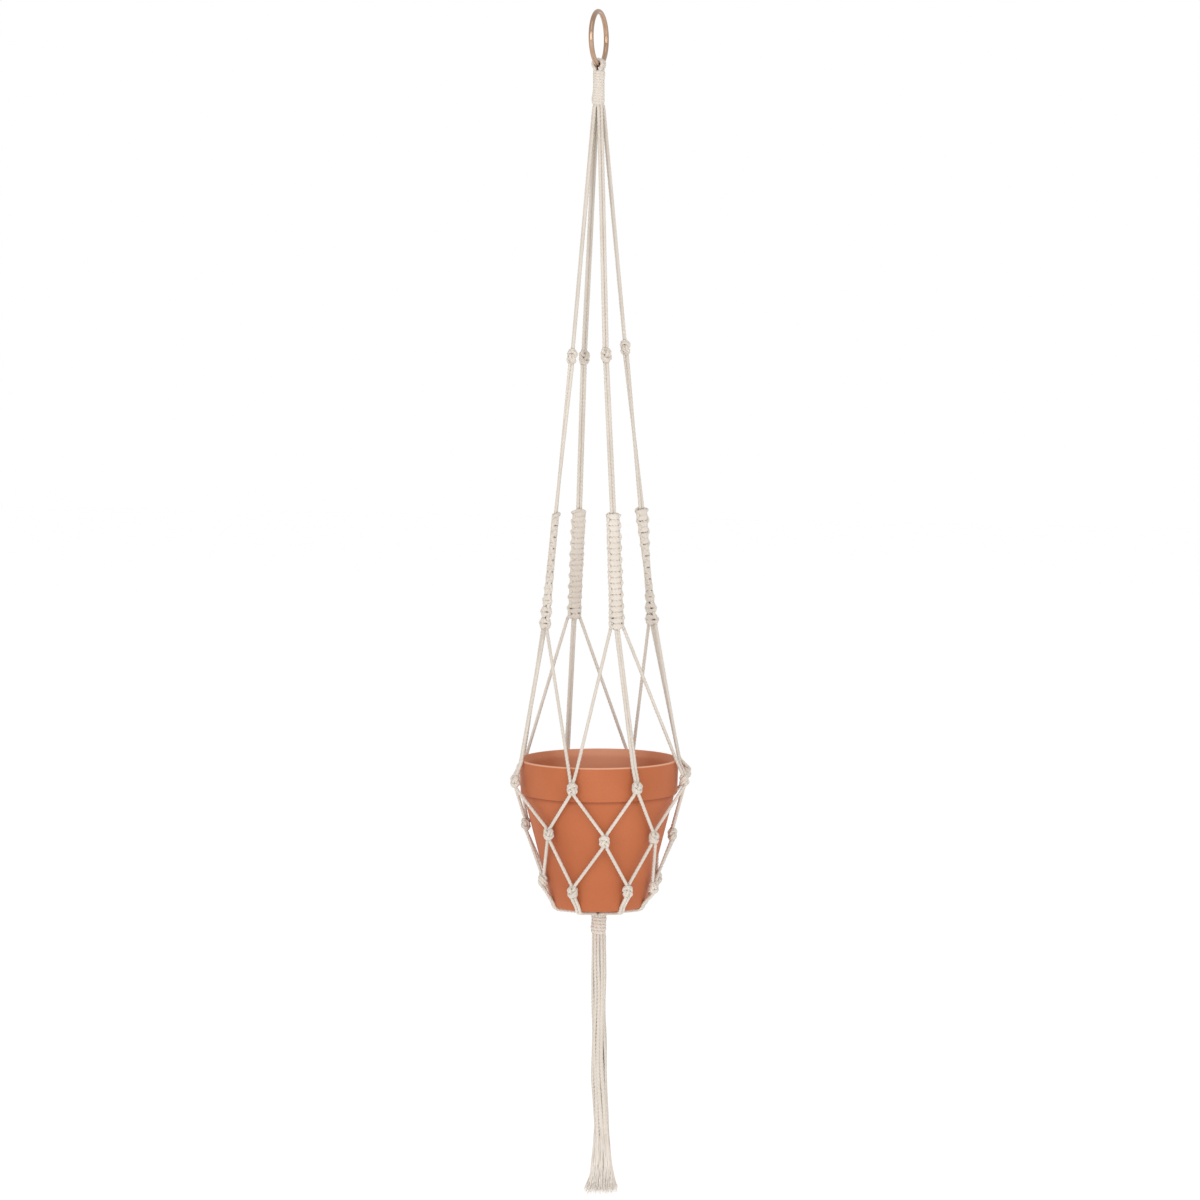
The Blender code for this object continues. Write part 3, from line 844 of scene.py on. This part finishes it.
def wisp(line, inner, rng):
    """One thin lock of loose fibres: it leaves its cord and spreads out to the tassel's edge."""
    start_height, end_height = rng.uniform(*WISP_STARTS), rng.uniform(*WISP_ENDS)
    spot = rng.normal(size=3) * 0.0008 * [1, 1, 0]
    start = line[np.argmin(np.abs(line[:, 2] - start_height))] + spot
    bend = line[-1] + spot * 1.5 - UP * WISP_DROP
    away = bend - tassel_middle(bend[2])
    angle = math.degrees(math.atan2(away[1], away[0])) + rng.normal() * (30 if inner else 15)
    share_out = rng.uniform(0.15, 0.85) if inner else rng.uniform(0.72, 1.0)
    end = tassel_middle(end_height) + polar(angle, table_value(TASSEL_RADII, end_height) * share_out, 0)
    shares = np.linspace(0, 1, 12)[:, None]
    sway = rng.normal(size=3) * WISP_SWAY * [1, 1, 0]
    centres = bent_curve(start, bend, end, 12) + sway * np.sin(rng.uniform(5, 9) * shares) * shares
    thickness = rng.uniform(*WISP_THICKNESS) * (1 - 0.75 * shares**3) * np.minimum(1, 0.3 + 4 * shares)
    angles = rng.uniform(0, math.pi) - np.arange(4) * math.pi / 2
    spokes = np.stack([np.cos(angles), np.sin(angles), np.zeros(4)], axis=1)
    return centres[:, None] + thickness[:, :, None] * spokes, along(centres)


# Ring and pot


def turned_mesh(name, profile, steps, wobble=0.0):
    """A turned and slightly uneven surface, from a closed profile of (distance from the axis, height)."""
    out, height = np.array(profile).T
    count = len(out)
    verts, faces = [], []
    for i in range(steps):
        angle = 2 * math.pi * i / steps
        radius = out + wobble * (np.sin(3 * angle + 40 * height) + 0.6 * np.sin(7 * angle - 90 * height))
        verts.append(np.stack([radius * math.cos(angle), radius * math.sin(angle), height], axis=1))
        after = (i + 1) % steps
        for j in range(count):
            k = (j + 1) % count
            faces.append((i * count + j, i * count + k, after * count + k, after * count + j))
    return smooth_mesh(name, verts, faces)


def rounded(corners):
    """The closed outline with each corner, (point, radius), rounded off."""
    points = [np.array(point, float) for point, _ in corners]
    made = []
    for i, (_, radius) in enumerate(corners):
        ends = []
        for other in (points[i - 1], points[(i + 1) % len(points)]):
            way = other - points[i]
            ends.append(points[i] + unit(way) * min(radius, 0.45 * np.linalg.norm(way)))
        made += [*bent_curve(ends[0], points[i], ends[1], 5)]
    return made


def subdivided(points, spacing):
    """The closed outline with points no further apart than a spacing."""
    made = []
    for i, point in enumerate(points):
        after = points[(i + 1) % len(points)]
        parts = max(1, math.ceil(np.linalg.norm(after - point) / spacing))
        made += [point + (after - point) * n / parts for n in range(parts)]
    return made


def pot_outline():
    """The pot's section: down its outside, through the drain hole, and up its inside."""
    foot, floor = POT_TOP - RIM_HEIGHT, POT_BOTTOM + FLOOR
    slope = (WALL_TOP_RADIUS - BASE_RADIUS) / (foot - POT_BOTTOM)
    inner_floor = BASE_RADIUS - WALL + slope * FLOOR - BASE_EDGE * 0.2
    points = [
        (RIM_RADIUS, POT_TOP), (RIM_FOOT_RADIUS, foot), (WALL_TOP_RADIUS - NECK_DEPTH, foot),
        (WALL_TOP_RADIUS - slope * NECK_HEIGHT, foot - NECK_HEIGHT), (BASE_RADIUS, POT_BOTTOM),
        (DRAIN_RADIUS, POT_BOTTOM), (DRAIN_RADIUS, floor), (inner_floor, floor),
        (WALL_TOP_RADIUS - WALL, foot), (RIM_RADIUS - RIM_WALL, POT_TOP - LIP_BEVEL),
        (RIM_RADIUS - LIP_WIDTH, POT_TOP),
    ]
    corners = [(point, LEDGE_ROUND if i in (1, 2) else CORNER_ROUND) for i, point in enumerate(points)]
    return subdivided(rounded(corners), 0.004)


def rigid_piece(name, mesh, material, node, body):
    """A piece that stands for one CAD node and moves with one body."""
    piece = add_piece(name, mesh, material)
    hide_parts(node)
    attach(piece, body)


def make_pot(material):
    mesh = turned_mesh("pot", pot_outline(), 160, CLAY_WOBBLE)
    rigid_piece("terracotta_pot", mesh, material, "clay_pot", "pot")


def make_ring(material):
    """The wire's round section turned about an upright axis, and then stood on edge."""
    turns = np.radians(np.arange(0, 360, 15))
    section = np.stack([RING_RADIUS + RING_WIRE / 2 * np.cos(turns), RING_WIRE / 2 * np.sin(turns)], axis=1)
    mesh = turned_mesh("ring", section, 128)
    for vert in mesh.vertices:
        out, y, aside = vert.co
        vert.co = (aside, y, RING_CENTRE_Z + out)
    rigid_piece("brass_ring", mesh, material, "hanging_ring", "ring")


# Materials


class Nodes:
    """A short way to write a material's node tree."""

    def __init__(self, name):
        self.material = bpy.data.materials.new(name)
        self.material.use_nodes = True
        self.tree = self.material.node_tree

    def add(self, kind, inputs=None, **settings):
        node = self.tree.nodes.new("ShaderNode" + kind)
        for key, value in settings.items():
            setattr(node, key, value)
        for key, value in (inputs or {}).items():
            self.put(node.inputs[key], value)
        return node

    def put(self, socket, value):
        if isinstance(value, bpy.types.NodeSocket):
            self.tree.links.new(value, socket)
        else:
            socket.default_value = value

    def place(self):
        return self.add("TexCoord").outputs["Object"]

    def cord_uv(self):
        return self.add("UVMap", uv_map="cord").outputs["UV"]

    def math(self, operation, a, b):
        return self.add("Math", {0: a, 1: b}, operation=operation).outputs[0]

    def times(self, *factors):
        made = factors[0]
        for factor in factors[1:]:
            made = self.math("MULTIPLY", made, factor)
        return made

    def vector(self, operation, a, b=(0.0, 0.0, 0.0), output="Value"):
        return self.add("VectorMath", {0: a, 1: b}, operation=operation).outputs[output]

    def mix(self, share, a, b, blend="MIX"):
        inputs = {"Factor": share, "A": a, "B": b}
        return self.add("Mix", inputs, data_type="RGBA", blend_type=blend).outputs["Result"]

    def noise(self, vector, scale, detail=2.0, roughness=0.5):
        """Noise with one scale, or one for each axis."""
        if isinstance(scale, tuple):
            vector = self.add("Mapping", {"Vector": vector, "Scale": scale}).outputs["Vector"]
            scale = 1.0
        inputs = {"Vector": vector, "Scale": scale, "Detail": detail, "Roughness": roughness}
        return self.add("TexNoise", inputs).outputs["Fac"]

    def ramp(self, value, *stops):
        """Colours at positions: each stop is (position, colour)."""
        node = self.add("ValToRGB", {"Fac": value})
        for element, (position, colour) in zip(node.color_ramp.elements, stops):
            element.position = position
            element.color = (*colour, 1.0)
        return node.outputs["Color"]

    def between(self, value, low, high, start=0.0, end=1.0):
        """Start where the value is low, and end where it is high."""
        inputs = {"Value": value, 1: low, 2: high, 3: start, 4: end}
        return self.add("MapRange", inputs).outputs["Result"]

    def bump(self, relief, strength, depth):
        inputs = {"Height": relief, "Strength": strength, "Distance": depth}
        return self.add("Bump", inputs).outputs["Normal"]

    def finish(self, inputs, preview):
        """Sets the shader's sockets, and the colour that is shown without nodes."""
        shader = self.tree.nodes["Principled BSDF"]
        for key, value in inputs.items():
            self.put(shader.inputs[key], value)
        self.material.diffuse_color = (*preview, 1.0)
        return self.material


def cotton_material():
    """Laid cotton: its fibres run along the plies, which cross the cord's length at a slant."""
    nodes = Nodes("cotton_cord")
    split = nodes.add("SeparateXYZ", {"Vector": nodes.cord_uv()})
    lean = nodes.times(split.outputs["Y"], math.pi * CORD / LAY)
    over = nodes.math("ADD", split.outputs["X"], lean)
    fibre_uv = nodes.add("CombineXYZ", {"X": over, "Y": split.outputs["Y"]}).outputs["Vector"]
    fine = nodes.noise(fibre_uv, (60.0, 7.0, 1.0), 3.0, 0.6)
    tufts = nodes.noise(fibre_uv, (14.0, 4.0, 1.0))
    slow = nodes.noise(nodes.place(), 22.0)
    base = nodes.ramp(slow, (0.30, (0.712, 0.638, 0.560)), (0.70, (0.776, 0.704, 0.624)))
    shade = nodes.ramp(fine, (0.25, (0.80, 0.77, 0.73)), (0.55, (1.0, 1.0, 1.0)))
    relief = nodes.math("ADD", nodes.times(fine, 0.6), nodes.times(tufts, 0.8))
    inputs = {
        "Base Color": nodes.mix(0.55, base, shade, "MULTIPLY"),
        "Roughness": 0.88, "Specular IOR Level": 0.25, "Sheen Weight": 0.25, "Sheen Roughness": 0.5,
        "Normal": nodes.bump(relief, 0.55, 0.0004),
    }
    return nodes.finish(inputs, (0.84, 0.78, 0.70))


def fibre_material():
    """Loose cotton fibres, painted paler than the laid cord: painted light that stands for the light passing
    between them and makes up for the shade they cast on one another.
    """
    nodes = Nodes("cotton_fibre")
    strand = nodes.noise(nodes.place(), (900.0, 900.0, 20.0))
    relief = nodes.noise(nodes.cord_uv(), (60.0, 7.0, 1.0))
    inputs = {
        # Painted light: the fibres' colour is paler than the cord's, to make up for their shade on one
        # another.
        "Base Color": nodes.ramp(strand, (0.30, (0.800, 0.728, 0.650)), (0.70, (0.900, 0.835, 0.762))),
        "Roughness": 0.90, "Specular IOR Level": 0.20, "Sheen Weight": 0.30, "Sheen Roughness": 0.5,
        "Normal": nodes.bump(relief, 0.30, 0.0002),
    }
    return nodes.finish(inputs, (0.86, 0.80, 0.72))


def painted_lip_highlight(nodes, height, radius):
    """Where the outer edge of the pot's top is painted pale: a painted highlight along the lip."""
    high = nodes.between(height, POT_TOP - 0.0016, POT_TOP - 0.0008)
    edge = nodes.between(radius, RIM_RADIUS - 0.0030, RIM_RADIUS - 0.0018)
    return nodes.times(high, edge, 0.75)


def pale_inside_painted_light(nodes, inside, level, radius):
    """Where the inside is painted paler: a little all round, and most of all on the far side from the
    camera, where it is painted light, the front light's pale reflection on the far inner wall.
    """
    along_side = nodes.vector("DOT_PRODUCT", level, polar(PAINTED_LIGHT_SIDE, 1, 0))
    inside_paleness = nodes.between(nodes.math("DIVIDE", along_side, radius), 0.72, 0.96, 0.16, 0.50)
    return nodes.times(inside, inside_paleness)


def painted_shade_under_rim(nodes, height, inside):
    """Where the corner under the rim is painted dark: painted shade under the ledge."""
    foot = POT_TOP - RIM_HEIGHT
    under = nodes.between(height, foot - 0.0036, foot - 0.0012)
    below = nodes.between(height, foot + 0.0003, foot - 0.0003)
    return nodes.times(under, below, nodes.math("SUBTRACT", 1.0, inside), 0.45)


def terracotta_material():
    nodes = Nodes("terracotta")
    place = nodes.place()
    grain = nodes.noise(place, 900.0, 3.0, 0.65)
    turning_lines = nodes.noise(place, (6.0, 6.0, 420.0))
    broad = nodes.noise(place, 14.0, 3.0)
    base = nodes.ramp(broad, (0.30, (0.456, 0.124, 0.043)), (0.70, (0.510, 0.148, 0.055)))
    fleck = nodes.ramp(grain, (0.28, (0.86, 0.84, 0.82)), (0.60, (1.0, 1.0, 1.0)))
    height = nodes.add("SeparateXYZ", {"Vector": place}).outputs["Z"]
    level = nodes.vector("MULTIPLY", place, (1.0, 1.0, 0.0), "Vector")
    radius = nodes.vector("LENGTH", level)
    facing = nodes.vector("DOT_PRODUCT", level, nodes.add("TexCoord").outputs["Normal"])
    inside = nodes.between(facing, -0.01, -0.04)
    colour = nodes.mix(0.6, base, fleck, "MULTIPLY")
    # Painted highlight: the outer edge of the lip is painted pale.
    colour = nodes.mix(painted_lip_highlight(nodes, height, radius), colour, (0.84, 0.46, 0.30, 1.0))
    # Painted light: the inside is painted paler, most of all on the far side from the camera, as the front
    # light's reflection on the far inner wall.
    colour = nodes.mix(pale_inside_painted_light(nodes, inside, level, radius), colour, (0.90, 0.46, 0.30, 1.0))
    # Painted shade: the corner under the rim is painted dark.
    colour = nodes.mix(painted_shade_under_rim(nodes, height, inside), colour, (0.27, 0.075, 0.028, 1.0))
    relief = nodes.math("ADD", nodes.times(grain, 0.5), nodes.times(turning_lines, 0.9))
    inputs = {
        "Base Color": colour, "Roughness": nodes.between(grain, 0.0, 1.0, 0.50, 0.72),
        "Specular IOR Level": 0.30, "Normal": nodes.bump(relief, 0.35, 0.0004),
    }
    return nodes.finish(inputs, (0.56, 0.17, 0.07))


def brass_material():
    nodes = Nodes("brass")
    place = nodes.place()
    scratch = nodes.noise(place, (2500.0, 160.0, 160.0))
    cloud = nodes.noise(place, 60.0, 3.0)
    inputs = {
        "Base Color": nodes.ramp(cloud, (0.3, (0.45, 0.295, 0.20)), (0.7, (0.55, 0.375, 0.265))),
        "Roughness": nodes.between(scratch, 0.0, 1.0, 0.10, 0.24),
        "Metallic": 1.0, "Normal": nodes.bump(scratch, 0.08, 0.0002),
    }
    return nodes.finish(inputs, (0.68, 0.42, 0.27))


# Camera, light and stage


def make_camera():
    data = bpy.data.cameras.new("camera")
    data.lens = CAMERA_LENS
    data.sensor_width = SENSOR
    data.clip_end = 50
    camera = add_object("camera", data)
    turn, tilt = math.radians(CAMERA_TURN), math.radians(CAMERA_TILT)
    right = Vector((math.cos(turn), math.sin(turn), 0))
    away = Vector((-math.sin(turn), math.cos(turn), 0))
    aim = right * CAMERA_AIM_RIGHT + Vector((0, 0, CAMERA_AIM_Z))
    look = away * math.cos(tilt) - Vector((0, 0, math.sin(tilt)))
    camera.location = aim - look * CAMERA_DISTANCE
    camera.rotation_euler = look.to_track_quat("-Z", "Y").to_euler()
    bpy.context.scene.camera = camera
    return right, away


def light_scene(right, away):
    """Soft boxes that shine on the planter, moved out and grown by the lights' reach."""
    for name, ((up, aside, back), size, power) in LIGHTS.items():
        way = (Vector((0, 0, up)) + right * aside + away * back) * LIGHT_REACH
        data = bpy.data.lights.new(name, "AREA")
        data.shape = "RECTANGLE"
        data.size, data.size_y = size[0] * LIGHT_REACH, size[1] * LIGHT_REACH
        data.energy = power * LIGHT_REACH**2
        light = add_object(name, data)
        light.location = Vector((0, 0, LIGHT_AIM_Z)) + way
        light.rotation_euler = (-way).to_track_quat("-Z", "Y").to_euler()


def make_world():
    """Surroundings that the camera sees as pure white, and that light the planter less than that."""
    world = bpy.data.worlds.new("world")
    world.use_nodes = True
    nodes, links = world.node_tree.nodes, world.node_tree.links
    glow = nodes["Background"].inputs
    glow["Color"].default_value = (1.0, 1.0, 1.0, 1.0)
    strength = nodes.new("ShaderNodeMath")
    strength.operation = "MULTIPLY_ADD"
    strength.inputs[1].default_value = 1.0 - WORLD_LIGHT
    strength.inputs[2].default_value = WORLD_LIGHT
    links.new(nodes.new("ShaderNodeLightPath").outputs["Is Camera Ray"], strength.inputs[0])
    links.new(strength.outputs["Value"], glow["Strength"])
    bpy.context.scene.world = world
    bpy.context.scene.view_settings.view_transform = "Standard"


def make_stage():
    """A pale floor that glows a little, so that it is as white as the surroundings."""
    inputs = {
        "Base Color": (0.88, 0.88, 0.88, 1.0), "Roughness": 0.9,
        "Emission Color": (1.0, 1.0, 1.0, 1.0), "Emission Strength": 0.34,
    }
    corners = [(x * STAGE_HALF, y * STAGE_HALF, STAGE_Z) for x, y in ((-1, -1), (1, -1), (1, 1), (-1, 1))]
    mesh = bpy.data.meshes.new("stage")
    mesh.from_pydata(corners, [], [(0, 1, 2, 3)])
    add_piece("stage", mesh, Nodes("stage").finish(inputs, (0.8, 0.8, 0.8)))


# Putting it together


def tie_sling():
    """Lays every cord of the planter, and files its stretches under the pieces' names."""
    rng = np.random.default_rng(7)
    template = tie_overhand()
    cell = braid_cell()
    arms = {}
    for name, arm in ARMS.items():
        arms[name] = braid_arm(name, arm, start_arm(name, arm, template), cell)
    below = net_cords(arms, template)
    long_cords = tassel_cords(below, rng)
    wraps = [wrap_coil("top_wrap", TOP_WRAP, TOP_BUMPS), wrap_coil("bottom_wrap", BOTTOM_WRAP, BOTTOM_BUMPS)]
    for seed, cord in enumerate([*loop_cords(), *wraps, *long_cords]):
        lay_cord(cord, seed)
    return rng


def make_sling(cotton):
    """The pieces that hang on the head and on the sling."""
    for name in ("ring_loops", "top_wrap"):
        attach(cord_piece(name, cotton), "head")
    for arm in ARMS:
        upper = cord_piece(f"{arm}_upper_cords", cotton)
        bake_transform(upper)
        for part in ("overhand_knot", "middle_cords", "sinnet", "centre_cords", "left_cord", "right_cord"):
            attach(cord_piece(f"{arm}_{part}", cotton), "sling")
    for row in (1, 2, 3):
        for number in range(1, 9):
            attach(cord_piece(f"net_row_{row}_knot_{number}", cotton), "sling")
    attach(cord_piece("bottom_wrap", cotton), "sling")


def make_tassel(cotton, fibres, rng):
    for number in range(1, 17):
        name = f"tassel_cord_{number}"
        _, _, line = PIECES[name][0]
        wisps = [wisp(line, number - 1 in TASSEL_INNER, rng) for _ in range(WISPS)]
        end_name = f"tassel_end_{number}"
        end = add_piece(end_name, tubes_mesh(end_name, wisps), fibres)
        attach(end, "tassel")
        cord = cord_piece(name, cotton, ["tassel"])
        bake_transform(cord)


right_way, away_way = make_camera()
light_scene(right_way, away_way)
make_world()
make_stage()
random_numbers = tie_sling()
cotton_cord = cotton_material()
make_sling(cotton_cord)
make_tassel(cotton_cord, fibre_material(), random_numbers)
make_pot(terracotta_material())
make_ring(brass_material())
